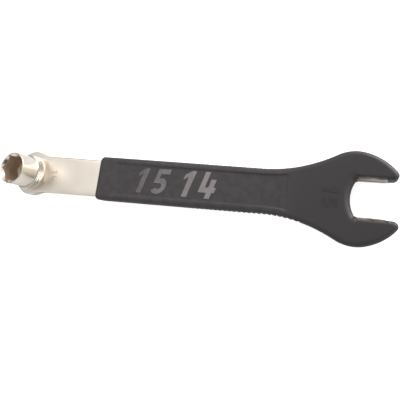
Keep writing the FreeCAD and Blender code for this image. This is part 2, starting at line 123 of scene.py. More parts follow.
def spread(outer, inner, near_outer, near_inner, between):
    """Rows across a plate: v steps off the outer edge by near_outer and the inner by near_inner.

    Rows between them are even. On a short crossing both sets shrink to half its length.
    """
    length = np.linalg.norm(inner - outer, axis=1)[:, None]
    first, last = np.array(near_outer), np.array(near_inner)
    shrink = np.minimum(1, 0.5 * length / max(first[-1], last[-1]))
    head = first * shrink / np.maximum(length, 1e-9)
    tail = 1 - last[::-1] * shrink / np.maximum(length, 1e-9)
    share = np.linspace(0, 1, between + 2)[1:-1]
    middle = head[:, -1:] + (tail[:, :1] - head[:, -1:]) * share
    return np.concatenate([head, middle, tail], 1)


def quads(rows, columns, offset=0):
    """Corner numbers of a grid's faces, one row of four for each face."""
    number = np.arange(rows * columns).reshape(rows, columns) + offset
    return np.stack([number[:-1, :-1], number[1:, :-1], number[1:, 1:], number[:-1, 1:]],
                    -1).reshape(-1, 4)


def closed_piece(name, grids, sharp=40):
    """A mesh object from grids of places in millimetres, welded where they meet."""
    corners, faces, count = [], [], 0
    for grid in grids:
        faces.append(quads(grid.shape[0], grid.shape[1], count))
        corners.append(grid.reshape(-1, 3))
        count += grid.shape[0] * grid.shape[1]
    mesh = bpy.data.meshes.new(name)
    mesh.from_pydata((np.concatenate(corners) * MM).tolist(), [],
                     np.concatenate(faces).tolist())
    work = bmesh.new()
    work.from_mesh(mesh)
    bmesh.ops.remove_doubles(work, verts=work.verts, dist=2e-7)
    bmesh.ops.dissolve_degenerate(work, edges=work.edges, dist=1e-8)
    bmesh.ops.recalc_face_normals(work, faces=work.faces)
    work.to_mesh(mesh)
    work.free()
    mesh.shade_smooth()
    mesh.set_sharp_from_angle(angle=math.radians(sharp))
    piece = bpy.data.objects.new(name, mesh)
    bpy.context.scene.collection.objects.link(piece)
    return piece


def plate_grids(top, bottom, wall_rows, slot_from):
    """Both faces and the walls of a plate, and the same mirrored to the other side of y = 0.

    A wall runs straight from the upper face's edge to the lower one's: a + (b - a) * t. The
    outer wall joins their first rows, and the slot's their last, from crossing slot_from on.
    """
    down = np.linspace(0, 1, wall_rows)[:, None]
    outer = top[:, :1] + (bottom[:, :1] - top[:, :1]) * down
    inner = top[slot_from:, -1:] + (bottom[slot_from:, -1:] - top[slot_from:, -1:]) * down
    half = [top, bottom, outer, inner]
    return half + [grid * (1, -1, 1) for grid in half]


EYE, EYE_BLEND, HOLE = 13.2, 12.0, 8.0
BAR_HALF, BAR_EDGE, FLAT_EDGE = 2.5, 0.8, 0.25
STRIP_HALF = 11.1
NECK = (141.0, 10.1)
WALL = 2.1
LOBE_CENTRE, LOBE = (178.8, 4.9), 14.5
FLARE = 62.0
JAW = 7.5
PRONG_END, PRONG_REACH, PRONG_ROUND = 4.2, 191.0, 1.5
THROAT, THROAT_CURVE, THROAT_CORNER, LINING = 176.9, 15.0, 0.8, 2.2

bar_side = ((0.0, STRIP_HALF), (NECK[0], NECK[1] - WALL))
blend_centre = touching(bar_side, EYE_BLEND, (0, 0), EYE + EYE_BLEND, later=True)
bar_flare = touching(bar_side, FLARE + WALL, LOBE_CENTRE, FLARE + LOBE, later=False)
blend_foot, flare_foot = foot(bar_side, blend_centre), foot(bar_side, bar_flare)
prong_corner = np.array([PRONG_REACH, JAW + PRONG_END])
lobe_inside = LOBE - WALL
reach_angle = math.degrees(math.acos(lobe_inside / math.dist(prong_corner, LOBE_CENTRE)))
cheek_angle = bearing(LOBE_CENTRE, prong_corner) + reach_angle
cheek_point = arc(LOBE_CENTRE, lobe_inside, cheek_angle, cheek_angle, 1)[0]

# The jaw's hollow curve, the place where the flats begin, and the steel's own corner there
curve_centre = (THROAT + THROAT_CURVE, 0.0)
flat_run = math.sqrt((THROAT_CURVE - THROAT_CORNER) ** 2 - (JAW - THROAT_CORNER) ** 2)
flat_start = curve_centre[0] - flat_run
steel_curve = THROAT_CURVE + LINING
steel_corner = (steel_curve ** 2 - JAW ** 2 - flat_run ** 2) / (2 * (steel_curve - JAW))
steel_centre = (flat_start, JAW - steel_corner)
steel_turn = bearing(curve_centre, steel_centre)

EYE_STEPS, BLEND_STEPS, STRIP_STEPS, SHOULDER_STEPS, PRONG_STEPS, END_STEPS = 54, 14, 60, 24, 30, 12
FLAT_FROM, FLAT_TO = 183.0, PRONG_REACH - PRONG_ROUND - 1.5

bar_outer = rail([
    (arc((0, 0), EYE, 180, bearing((0, 0), blend_centre), 90), even(EYE_STEPS)),
    (arc(blend_centre, EYE_BLEND, bearing(blend_centre, (0, 0)),
         bearing(blend_centre, blend_foot), 40), even(BLEND_STEPS)),
    ([blend_foot, flare_foot], even(STRIP_STEPS)),
    (arc(bar_flare, FLARE + WALL, bearing(bar_flare, flare_foot),
         bearing(bar_flare, LOBE_CENTRE), 60), even(SHOULDER_STEPS)),
    (arc(LOBE_CENTRE, lobe_inside, bearing(LOBE_CENTRE, bar_flare), cheek_angle, 60),
     even(PRONG_STEPS)),
    ([cheek_point, prong_corner], even(END_STEPS)),
    ([prong_corner, (PRONG_REACH, JAW + PRONG_ROUND)], even(END_STEPS, last=True)),
])
bar_inner = rail([
    (arc((0, 0), HOLE, 180, 0, 90), even(EYE_STEPS)),
    ([(HOLE, 0), (24, 0)], even(BLEND_STEPS)),
    ([(24, 0), (flare_foot[0], 0)], even(STRIP_STEPS)),
    ([(flare_foot[0], 0), (curve_centre[0] - steel_curve, 0)], even(SHOULDER_STEPS)),
    (np.concatenate([arc(curve_centre, steel_curve, 180, steel_turn, 30),
                     arc(steel_centre, steel_corner, steel_turn, 90, 12),
                     [(FLAT_FROM, JAW)]]), even(PRONG_STEPS)),
    ([(FLAT_FROM, JAW), (FLAT_TO, JAW)], even(END_STEPS)),
    (np.concatenate([[(FLAT_TO, JAW)],
                     arc((PRONG_REACH - PRONG_ROUND, JAW + PRONG_ROUND), PRONG_ROUND,
                         -90, 0, 16)]), even(END_STEPS, last=True)),
])
across = spread(bar_outer, bar_inner, [0, 0.02, 0.07, 0.16, 0.29, 0.45, 0.63, 0.82, 1.1],
                [0, 0.03, 0.1, 0.2, 0.4], 5)[..., None]
place = bar_outer[:, None] * (1 - across) + bar_inner[:, None] * across
flat = place.reshape(-1, 2)
slot_from = EYE_STEPS + BLEND_STEPS + STRIP_STEPS + SHOULDER_STEPS
fall = np.maximum(rounding(far_from(flat, bar_outer), BAR_EDGE),
                  rounding(far_from(flat, bar_inner[slot_from:]), FLAT_EDGE))
bar_top = np.concatenate([flat, BAR_HALF - fall[:, None]], 1).reshape(*place.shape[:2], 3)
bar_grids = plate_grids(bar_top, bar_top * (1, 1, -1), 5, slot_from)
hole_edge = bar_inner[:EYE_STEPS + 1]
hole_wall = np.stack([np.c_[hole_edge, np.full(len(hole_edge), side * BAR_HALF)]
                      for side in (1, -1)], 1)
bar_grids += [hole_wall, hole_wall * (1, -1, 1)]
bar = closed_piece("steel_bar", bar_grids, sharp=35)
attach(bar, "root")
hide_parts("bar")


def shader(material):
    """The material's node tree, emptied down to one Principled shader and its output."""
    material.use_nodes = True
    tree = material.node_tree
    tree.nodes.clear()
    principled = tree.nodes.new("ShaderNodeBsdfPrincipled")
    output = tree.nodes.new("ShaderNodeOutputMaterial")
    tree.links.new(principled.outputs["BSDF"], output.inputs["Surface"])
    return tree, principled


def object_place(tree):
    """The object's own coordinates: the whole vector, and its x, y and z."""
    coordinate = tree.nodes.new("ShaderNodeTexCoord")
    split = tree.nodes.new("ShaderNodeSeparateXYZ")
    tree.links.new(coordinate.outputs["Object"], split.inputs["Vector"])
    return coordinate.outputs["Object"], split.outputs["X"], split.outputs["Y"], split.outputs["Z"]


def ramp(tree, value, low, high, start=0.0, end=1.0):
    """A value that goes from start to end while another goes from low to high."""
    node = tree.nodes.new("ShaderNodeMapRange")
    for name, number in (("From Min", low), ("From Max", high), ("To Min", start),
                         ("To Max", end)):
        node.inputs[name].default_value = number
    tree.links.new(value, node.inputs["Value"])
    return node.outputs["Result"]


def combined(tree, operation, first, second):
    """Two values taken together by a Math node's operation."""
    node = tree.nodes.new("ShaderNodeMath")
    node.operation = operation
    for value, place_in in ((first, node.inputs[0]), (second, node.inputs[1])):
        tree.links.new(value, place_in)
    return node.outputs["Value"]


def cloud_group():
    """Slow and fine variation in one group, shared by the plated steel and the moulding.

    Tone is soft noise stretched over its range, and Grain is fine noise for a bump's height.
    """
    group = bpy.data.node_groups.new("cloud_and_grain", "ShaderNodeTree")
    for name, value in (("Cloud Scale", 60.0), ("Grain Scale", 3000.0), ("Grain Detail", 2.0)):
        socket = group.interface.new_socket(name, in_out="INPUT", socket_type="NodeSocketFloat")
        socket.default_value = value
    group.interface.new_socket("Vector", in_out="INPUT", socket_type="NodeSocketVector")
    group.interface.new_socket("Tone", in_out="OUTPUT", socket_type="NodeSocketFloat")
    group.interface.new_socket("Grain", in_out="OUTPUT", socket_type="NodeSocketFloat")
    start = group.nodes.new("NodeGroupInput")
    end = group.nodes.new("NodeGroupOutput")
    cloud = group.nodes.new("ShaderNodeTexNoise")
    cloud.inputs["Detail"].default_value = 3.0
    stretch = group.nodes.new("ShaderNodeMapRange")
    stretch.inputs["From Min"].default_value = 0.3
    stretch.inputs["From Max"].default_value = 0.7
    grain = group.nodes.new("ShaderNodeTexNoise")
    link = group.links.new
    link(start.outputs["Vector"], cloud.inputs["Vector"])
    link(start.outputs["Cloud Scale"], cloud.inputs["Scale"])
    link(start.outputs["Vector"], grain.inputs["Vector"])
    link(start.outputs["Grain Scale"], grain.inputs["Scale"])
    link(start.outputs["Grain Detail"], grain.inputs["Detail"])
    link(cloud.outputs["Fac"], stretch.inputs["Value"])
    link(stretch.outputs["Result"], end.inputs["Tone"])
    link(grain.outputs["Fac"], end.inputs["Grain"])
    return group


cloud_and_grain = cloud_group()


def plated_steel(name, brush, lines_scale, roughness, depth, bare_or_shade, bare_roughness):
    """Satin nickel, and a barer finish where the returned mask is 1.

    Two warm tones are mixed by Tone, and fine lines brushed along one axis are a bump. Bare
    bare_or_shade holds the two tones that take over under the mask, mixed by a finer cloud: bare
    steel on the bar's flats, and painted shade inside the socket and on the strip's figure. Returns
    the material and the mask's sockets.
    """
    material = bpy.data.materials.new(name)
    tree, principled = shader(material)
    coordinate = tree.nodes.new("ShaderNodeTexCoord")
    stretch = tree.nodes.new("ShaderNodeMapping")
    stretch.inputs["Scale"].default_value = brush
    effect = tree.nodes.new("ShaderNodeGroup")
    effect.node_tree = cloud_and_grain
    effect.inputs["Cloud Scale"].default_value = 70.0
    lines = tree.nodes.new("ShaderNodeGroup")
    lines.node_tree = cloud_and_grain
    lines.inputs["Cloud Scale"].default_value = 420.0
    lines.inputs["Grain Scale"].default_value = lines_scale
    plate = tree.nodes.new("ShaderNodeMix")
    plate.data_type = "RGBA"
    plate.inputs["A"].default_value = (0.80, 0.725, 0.635, 1)
    plate.inputs["B"].default_value = (0.88, 0.815, 0.725, 1)
    bare_or_shade_tones = tree.nodes.new("ShaderNodeMix")
    bare_or_shade_tones.data_type = "RGBA"
    bare_or_shade_tones.inputs["A"].default_value = (*bare_or_shade[0], 1)
    bare_or_shade_tones.inputs["B"].default_value = (*bare_or_shade[1], 1)
    tone = tree.nodes.new("ShaderNodeMix")
    tone.data_type = "RGBA"
    rough = tree.nodes.new("ShaderNodeMapRange")
    rough.inputs["To Min"].default_value = roughness
    rough.inputs["To Max"].default_value = bare_roughness
    bump = tree.nodes.new("ShaderNodeBump")
    bump.inputs["Strength"].default_value = 0.35
    bump.inputs["Distance"].default_value = depth
    principled.inputs["Metallic"].default_value = 1.0
    link = tree.links.new
    link(coordinate.outputs["Object"], effect.inputs["Vector"])
    link(coordinate.outputs["Object"], stretch.inputs["Vector"])
    link(stretch.outputs["Vector"], lines.inputs["Vector"])
    link(effect.outputs["Tone"], plate.inputs["Factor"])
    link(lines.outputs["Tone"], bare_or_shade_tones.inputs["Factor"])
    link(plate.outputs["Result"], tone.inputs["A"])
    link(bare_or_shade_tones.outputs["Result"], tone.inputs["B"])
    link(tone.outputs["Result"], principled.inputs["Base Color"])
    link(rough.outputs["Result"], principled.inputs["Roughness"])
    link(lines.outputs["Grain"], bump.inputs["Height"])
    link(bump.outputs["Normal"], principled.inputs["Normal"])
    return material, (tone.inputs["Factor"], rough.inputs["Value"])


# On the bar the mask is the head from x = 165 mm on, where the flats have lost their plating. Along
# their back edge they keep the paler plated tones, a band of painted highlight.
BARE_FROM, BARE_TO, PAINTED_HIGHLIGHT_BELOW, BARE_ABOVE = 160.0, 165.0, -1.8, -0.8
bar_nickel, masked = plated_steel("bar_nickel", (0.35, 1, 1), 2500.0, 0.37, 0.00001,
                                  ((0.13, 0.095, 0.09), (0.88, 0.79, 0.73)), 0.3)
tree = bar_nickel.node_tree
_, x, _, z = object_place(tree)
bare_or_shade = combined(tree, "MULTIPLY", ramp(tree, x, MM * BARE_FROM, MM * BARE_TO),
                ramp(tree, z, MM * PAINTED_HIGHLIGHT_BELOW, MM * BARE_ABOVE))
for socket_in in masked:
    tree.links.new(bare_or_shade, socket_in)
bar.data.materials.append(bar_nickel)


# The socket. It is turned from round steel, knurled on the collar at its foot and broached
# with a hexagon. Its spigot passes through the bar's eye and is swaged flush at the back.

HEX_HALF = 7.0
MOUTH, SHELF, MOUTH_RADIUS = 18.2, 7.2, 8.4
TUBE, COLLAR, COLLAR_TOP = 9.1, 9.9, 7.5
BORE, SPIGOT, SWAGE = 6.0, 8.0, 0.8
KNURLS, KNURL_DEPTH, KNURL_FROM, KNURL_TO = 46, 0.5, 3.0, 7.4
COLUMNS = 10 * KNURLS

turn = np.linspace(0, 2 * np.pi, COLUMNS + 1)
hexagon = HEX_HALF / np.cos(turn % (np.pi / 3) - np.pi / 6)


def ring(radius, height):
    """One turn (r cos a, r sin a, z), with r and z fixed or changing with the angle a."""
    radius = np.broadcast_to(np.asarray(radius, float), turn.shape)
    height = np.broadcast_to(np.asarray(height, float), turn.shape)
    return np.stack([radius * np.cos(turn), radius * np.sin(turn), height], -1)


def rings(radii, heights):
    """Turns at pairs of a radius and a height."""
    return [ring(r, z) for r, z in zip(radii, heights)]


def quarter(radius, height, size, start, end, count=5):
    """Rings round a turned corner: centre + size * (cos a, sin a) in the section's plane."""
    a = np.radians(np.linspace(start, end, count))
    return rings(radius + size * np.cos(a), height + size * np.sin(a))


# The mouth's lead-in is a cone: where it meets the hexagon, it has sunk as far as it narrowed.
lead_end = MOUTH - (MOUTH_RADIUS - hexagon)
lead_rows = [ring(MOUTH_RADIUS + (hexagon - MOUTH_RADIUS) * s, MOUTH + (lead_end - MOUTH) * s)
             for s in np.linspace(0.08, 1, 8)]
wall_rows = [ring(hexagon, lead_end + (SHELF - lead_end) * s) for s in np.linspace(0, 1, 8)]

# Diamond knurls are two sets of crossed helical grooves, |sin(n a / 2 + pi z / pitch)| and its
# mirror. The deeper of the two wins, and both run out at the ends of the knurled stretch.
knurl_z = np.linspace(KNURL_FROM, KNURL_TO, 44)[:, None]
fade = np.clip(np.minimum(knurl_z - KNURL_FROM, KNURL_TO - knurl_z) / 0.2, 0, 1)
pitch = 2 * np.pi * COLLAR / KNURLS
crossed = np.minimum(np.abs(np.sin(KNURLS / 2 * turn + np.pi * knurl_z / pitch)),
                     np.abs(np.sin(KNURLS / 2 * turn - np.pi * knurl_z / pitch)))
knurl_rows = rings(COLLAR - KNURL_DEPTH * fade * (1 - crossed), knurl_z)

socket_rows = (
    wall_rows[::-1] + lead_rows[::-1]
    + quarter(TUBE - 0.3, MOUTH - 0.3, 0.3, 90, 0)
    + rings([TUBE] * 4, [15, 12, 9.5, COLLAR_TOP + 0.2])
    + quarter(TUBE + 0.2, COLLAR_TOP + 0.2, 0.2, 180, 270, 4)
    + quarter(COLLAR - 0.1, COLLAR_TOP - 0.1, 0.1, 90, 0, 4)
    + knurl_rows[::-1]
    + rings([COLLAR, COLLAR - 0.25, COLLAR - 0.25], [2.95, 2.8, 2.45])
    + rings([SPIGOT, SPIGOT, SPIGOT + SWAGE - 0.05], [2.45, -1.7, -2.45])
    + rings([SPIGOT + SWAGE - 0.1, BORE + 0.25], [-2.5, -2.5])
    + rings([BORE, BORE, HEX_HALF], [-2.25, 6.2, SHELF])
    + [ring(hexagon, SHELF)]
)
socket = closed_piece("hexagon_socket", [np.stack(socket_rows)], sharp=35)
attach(socket, "root")
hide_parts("socket")

# On the socket the mask is the inside, where the plating is thin and duller: a radius sqrt(x^2 +
# y^2) under 8.2 mm, and below the lead-in's cone, on which z - radius is 9.8 mm. Its darker,
# browner tones there are painted shade in the hexagon's recess.
INSIDE_RADIUS, INSIDE_FADE = 8.2, 0.1
socket_nickel, masked = plated_steel("socket_nickel", (0.02, 0.02, 1), 5000.0, 0.22, 0.00002,
                                     ((0.56, 0.46, 0.37), (0.78, 0.67, 0.56)), 0.5)
tree = socket_nickel.node_tree
where, _, _, z = object_place(tree)
flatten = tree.nodes.new("ShaderNodeVectorMath")
flatten.operation = "MULTIPLY"
flatten.inputs[1].default_value = (1, 1, 0)
length = tree.nodes.new("ShaderNodeVectorMath")
length.operation = "LENGTH"
tree.links.new(where, flatten.inputs[0])
tree.links.new(flatten.outputs["Vector"], length.inputs[0])
radius = length.outputs["Value"]
cone = MM * (MOUTH - MOUTH_RADIUS)
inside_shade = combined(tree, "MULTIPLY", ramp(tree, radius, MM * (INSIDE_RADIUS + INSIDE_FADE),
                                         MM * (INSIDE_RADIUS - INSIDE_FADE)),
                  ramp(tree, combined(tree, "SUBTRACT", z, radius), cone - 5e-5, cone - 2e-4))
for socket_in in masked:
    tree.links.new(inside_shade, socket_in)

# Painted shade darkens the knurl's grooves: between the collar's foot and top, a little inside its
# radius, and at half strength on the collar's top face.
GROOVE_SHADE_LOW, GROOVE_SHADE_HIGH, GROOVE_SHADE_FADE, GROOVE_SHADE_RADIUS = 2.6, 7.6, 0.2, 8.8
collar = combined(tree, "MULTIPLY", ramp(tree, z, MM * GROOVE_SHADE_LOW, MM * (GROOVE_SHADE_LOW + 0.3)),
                  ramp(tree, z, MM * GROOVE_SHADE_HIGH, MM * (GROOVE_SHADE_HIGH - GROOVE_SHADE_FADE)))
sunk = combined(tree, "MULTIPLY",
                ramp(tree, radius, MM * GROOVE_SHADE_RADIUS, MM * (GROOVE_SHADE_RADIUS + GROOVE_SHADE_FADE)),
                ramp(tree, radius, MM * (COLLAR - 0.35 * KNURL_DEPTH),
                     MM * (COLLAR - 0.6 * KNURL_DEPTH)))
groove_shade = combined(tree, "MULTIPLY", collar, sunk)
principled = next(node for node in tree.nodes if node.type == "BSDF_PRINCIPLED")
painted_groove_shade = tree.nodes.new("ShaderNodeMix")
painted_groove_shade.data_type = "RGBA"
painted_groove_shade.inputs["B"].default_value = (0.13, 0.10, 0.08, 1)
tree.links.new(groove_shade, painted_groove_shade.inputs["Factor"])
tree.links.new(principled.inputs["Base Color"].links[0].from_socket, painted_groove_shade.inputs["A"])
tree.links.new(painted_groove_shade.outputs["Result"], principled.inputs["Base Color"])
socket.data.materials.append(socket_nickel)


# The grip. One black moulding is shot over the shank and the whole head. It has round edges,
# a sunk panel on each face and fine grooves down both sides, and its tips wrap the prongs.

GRIP_HALF_THICK, GRIP_EDGE = 4.6, 2.0
GRIP_START, GRIP_HALF, GRIP_CORNER = 50.4, 11.9, 2.5
CHEEK, TIP_ROUND, TIP_REACH = 22.0, 2.1, 194.4
FLAT_END, SETBACK, TIP_BACK = 190.2, 1.25, 0.4
PANEL_START, PANEL_END, PANEL_RIM, PANEL_DEPTH = 62.0, 152.3, 3.0, 0.38
TOOTH_FIRST, TOOTH_LAST, TOOTH_PITCH, TOOTH_RADIUS, TOOTH_DEPTH = 88.86, 157.2, 2.353, 0.9, 0.6

grip_side = ((GRIP_START, GRIP_HALF), NECK)
slope = (NECK[1] - GRIP_HALF) / (NECK[0] - GRIP_START)
corner_y = GRIP_HALF + slope * GRIP_CORNER - GRIP_CORNER * math.hypot(1, slope)
corner_centre = (GRIP_START + GRIP_CORNER, corner_y)
corner_foot = foot(grip_side, corner_centre)
flare_centre = touching(grip_side, FLARE, LOBE_CENTRE, FLARE + LOBE, later=False)
flare_start = foot(grip_side, flare_centre)
tip_centre = np.array([TIP_REACH - TIP_ROUND, JAW + TIP_BACK + TIP_ROUND])

# The cheek's centre lies where two circles cross, about the lobe's centre and the tip's.
span = tip_centre - LOBE_CENTRE
gap = np.linalg.norm(span)
travel = ((CHEEK - LOBE) ** 2 - (CHEEK - TIP_ROUND) ** 2 + gap ** 2) / (2 * gap)
aside = math.sqrt((CHEEK - LOBE) ** 2 - travel ** 2)
cheek_centre = (np.array(LOBE_CENTRE) + span / gap * travel
                + np.array([span[1], -span[0]]) / gap * aside)

OPEN_STEPS, CORNER_STEPS, PLAIN_STEPS, TOOTHED_STEPS = 16, 8, 26, 190
FLARE_STEPS, LOBE_STEPS, CHEEK_STEPS, TIP_STEPS = 84, 56, 18, 22
toothed_from = (TOOTH_FIRST - 2 - corner_foot[0]) / (flare_start[0] - corner_foot[0])
side_shares = np.r_[toothed_from * even(PLAIN_STEPS),
                    toothed_from + (1 - toothed_from) * even(TOOTHED_STEPS)]
grip_outer = rail([
    ([(GRIP_START, 0), (GRIP_START, corner_y)], even(OPEN_STEPS)),
    (arc(corner_centre, GRIP_CORNER, 180, bearing(corner_centre, corner_foot), 24),
     even(CORNER_STEPS)),
    ([corner_foot, flare_start], side_shares),
    (arc(flare_centre, FLARE, bearing(flare_centre, flare_start),
         bearing(flare_centre, LOBE_CENTRE), 120), even(FLARE_STEPS)),
    (arc(LOBE_CENTRE, LOBE, bearing(LOBE_CENTRE, flare_centre),
         bearing(cheek_centre, LOBE_CENTRE), 60), even(LOBE_STEPS)),
    (arc(cheek_centre, CHEEK, bearing(cheek_centre, LOBE_CENTRE),
         bearing(cheek_centre, tip_centre), 60), even(CHEEK_STEPS)),
    (arc(tip_centre, TIP_ROUND, bearing(cheek_centre, tip_centre), 0, 30),
     even(TIP_STEPS, last=True)),
])
wall_y = JAW + SETBACK
corner_turn = bearing(curve_centre, (flat_start, JAW - THROAT_CORNER))
grip_inner = rail([
    ([(61, 0), (63, 0)], even(OPEN_STEPS)),
    ([(63, 0), (65, 0)], even(CORNER_STEPS)),
    ([(65, 0), (flare_start[0], 0)], side_shares),
    ([(flare_start[0], 0), (THROAT, 0)], np.sin(np.pi / 2 * even(FLARE_STEPS))),
    (np.concatenate([arc(curve_centre, THROAT_CURVE, 180, corner_turn, 24),
                     arc((flat_start, JAW - THROAT_CORNER), THROAT_CORNER, corner_turn, 100, 6),
                     arc((flat_start, JAW + 0.3), 0.3, -80, 0, 5),
                     arc((flat_start + 0.5, wall_y - 0.3), 0.3, 180, 90, 6),
                     [(182.5, wall_y)]]), even(LOBE_STEPS)),
    ([(182.5, wall_y), (FLAT_END - 1.5, wall_y)], even(CHEEK_STEPS)),
    (np.concatenate([[(FLAT_END - 1.5, wall_y)],
                     arc((FLAT_END - 0.2, wall_y - 0.2), 0.2, 90, 0, 5),
                     arc((FLAT_END + 0.2, JAW + TIP_BACK + 0.2), 0.2, 180, 270, 5),
                     arc(tip_centre, TIP_ROUND, -90, 0, 16)]),
     even(TIP_STEPS, last=True)),
])
across = spread(grip_outer, grip_inner,
                [0, 0.03, 0.1, 0.22, 0.4, 0.65, 0.95, 1.3, 1.7, 2.05, 2.5, 2.75, 2.9, 3.05, 3.2,
                 3.4, 3.7],
                [0, 0.03, 0.1, 0.25, 0.5, 0.85, 1.3, 1.8, 2.3, 2.7], 8)[..., None]
place = grip_outer[:, None] * (1 - across) + grip_inner[:, None] * across
shape = place.shape[:2]
flat = place.reshape(-1, 2)
slot_from = OPEN_STEPS + CORNER_STEPS + PLAIN_STEPS + TOOTHED_STEPS + FLARE_STEPS
outer_gap = far_from(flat, grip_outer)
inner_gap = far_from(flat, grip_inner[slot_from:])


def smooth(value, low, high):
    """Smooth step: 3 t^2 - 2 t^3, with t the share of the way from low to high."""
    t = np.clip((value - low) / (high - low), 0, 1)
    return t * t * (3 - 2 * t)


# The upper face falls by the edge's quarter round, by a smaller one round the slot, and by a
# smooth step into the sunk panel.
SLOT_EDGE, MORE_IN_THROAT, MORE_AT_TIPS = 0.5, 2.1, 1.3
along = flat[:, 0]
slot_edge = (SLOT_EDGE + MORE_IN_THROAT * (1 - smooth(along, 177.6, 180.6))
             + MORE_AT_TIPS * smooth(along, 189.6, 192.0))
panel = (smooth(outer_gap, PANEL_RIM - 0.25, PANEL_RIM + 0.3)
         * smooth(along, PANEL_START - 1.0, PANEL_START + 2.0)
         * (1 - smooth(along, PANEL_END - 0.8, PANEL_END + 0.6)))
fall = np.maximum(rounding(outer_gap, GRIP_EDGE), rounding(inner_gap, slot_edge))
height = (GRIP_HALF_THICK - fall - PANEL_DEPTH * panel).reshape(shape)

# Each groove is a cylinder's cut: depth - radius + sqrt(radius^2 - s^2) at a distance s from
# its middle, and deeper towards the head. It runs down the whole side wall. On the front edge
# it soon fades and only cuts where the rounding stands proud of it; on the back edge it breaks
# out further in.
TOOTH_LEAST, DEEPEN_FROM, DEEPEN_TO = 0.1, 92.0, 142.0
station = grip_outer[:, 0]
number = np.clip(np.round((station - TOOTH_FIRST) / TOOTH_PITCH), 0,
                 int((TOOTH_LAST - TOOTH_FIRST) / TOOTH_PITCH))
beside = station - (TOOTH_FIRST + number * TOOTH_PITCH)
deep = TOOTH_DEPTH * (TOOTH_LEAST + (1 - TOOTH_LEAST) * smooth(station, DEEPEN_FROM, DEEPEN_TO))
cut = np.clip(deep - TOOTH_RADIUS
              + np.sqrt(np.clip(TOOTH_RADIUS ** 2 - beside ** 2, 0, None)), 0, None)
cut = np.where((station > 80) & (station < 165), cut, 0)[:, None]
edge_run = np.gradient(grip_outer, axis=0)
inward = np.stack([edge_run[:, 1], -edge_run[:, 0]], 1)
inward = (inward / np.linalg.norm(inward, axis=1)[:, None])[:, None]
behind = outer_gap.reshape(shape)
front_cut = np.clip(cut * (1 - smooth(behind, 0.0, 0.25)) - behind, 0, None)
back_cut = cut * (1 - smooth(behind, 0.9, 1.9))
grip_top = np.concatenate([place + inward * front_cut[..., None], height[..., None]], -1)
grip_back = np.concatenate([place + inward * back_cut[..., None], -height[..., None]], -1)
grip_grids = plate_grids(grip_top, grip_back, 5, slot_from)
grip = closed_piece("moulded_grip", grip_grids, sharp=50)
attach(grip, "root")
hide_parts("grip")


def moulding(name, dark, pale, cloud_scale, grain_depth):
    """Matt moulded plastic: two tones mixed by Tone, and Grain as a fine bump.

    Returns the material, the Tone output and the mixing factor's socket.
    """
    material = bpy.data.materials.new(name)
    tree, principled = shader(material)
    coordinate = tree.nodes.new("ShaderNodeTexCoord")
    effect = tree.nodes.new("ShaderNodeGroup")
    effect.node_tree = cloud_and_grain
    effect.inputs["Cloud Scale"].default_value = cloud_scale
    effect.inputs["Grain Scale"].default_value = 2600.0
    tone = tree.nodes.new("ShaderNodeMix")
    tone.data_type = "RGBA"
    tone.inputs["A"].default_value = (*dark, 1)
    tone.inputs["B"].default_value = (*pale, 1)
    bump = tree.nodes.new("ShaderNodeBump")
    bump.inputs["Strength"].default_value = 0.5
    bump.inputs["Distance"].default_value = grain_depth
    principled.inputs["Roughness"].default_value = 0.5
    link = tree.links.new
    link(coordinate.outputs["Object"], effect.inputs["Vector"])
    link(effect.outputs["Tone"], tone.inputs["Factor"])
    link(tone.outputs["Result"], principled.inputs["Base Color"])
    link(effect.outputs["Grain"], bump.inputs["Height"])
    link(bump.outputs["Normal"], principled.inputs["Normal"])
    return material, effect.outputs["Tone"], tone.inputs["Factor"]


# The moulding is a shade darker on the head, past the panel's end.
grip_black, cloud, factor = moulding("grip_black", (0.028, 0.0232, 0.0244),
                                     (0.0445, 0.0370, 0.0385), 330.0, 0.00006)
tree = grip_black.node_tree
_, x, _, _ = object_place(tree)
paler = combined(tree, "MULTIPLY", cloud, ramp(tree, x, 0.151, 0.157, 1.0, 0.1))
tree.links.new(paler, factor)
grip.data.materials.append(grip_black)


# The size marks. The jaw's and the socket's widths stand slightly raised on the panel, in worn
# grey. The jaw's width stands again at the head, in a black darker than the grip's own, which is
# painted shade for the shading round a moulded figure, and the socket's on the strip beside it, in
# a darker nickel, which is painted shade for an engraved figure's recess.

STROKE, ADVANCE, SPACE = 0.2, 0.8, 0.42


def figure(digit):
    """Outline of a plain upright figure in a box 0.64 wide and 1 high."""
    if digit == "1":
        return np.array([(0.2, 0), (0.42, 0), (0.42, 1), (0.26, 1), (0.02, 0.84), (0.02, 0.64),
                         (0.2, 0.76)])
    if digit == "4":
        bar_low, bar_high, stem = 0.22, 0.22 + STROKE, 0.34
        return np.array([(0, 1), (STROKE, 1), (STROKE, bar_high), (stem, bar_high),
                         (stem, 0.72), (stem + STROKE, 0.72), (stem + STROKE, bar_high),
                         (0.64, bar_high), (0.64, bar_low), (stem + STROKE, bar_low),
                         (stem + STROKE, 0), (stem, 0), (stem, bar_low), (0, bar_low)])
    bowl = (0.3, 0.32)
    return np.concatenate([
        [(0.03, 1), (0.58, 1), (0.58, 1 - STROKE), (0.22, 1 - STROKE), (0.21, 0.62)],
        arc(bowl, 0.32, 95, -145, 16), arc(bowl, 0.32 - STROKE, -145, 115, 12),
        [(0.02, 0.44)]])


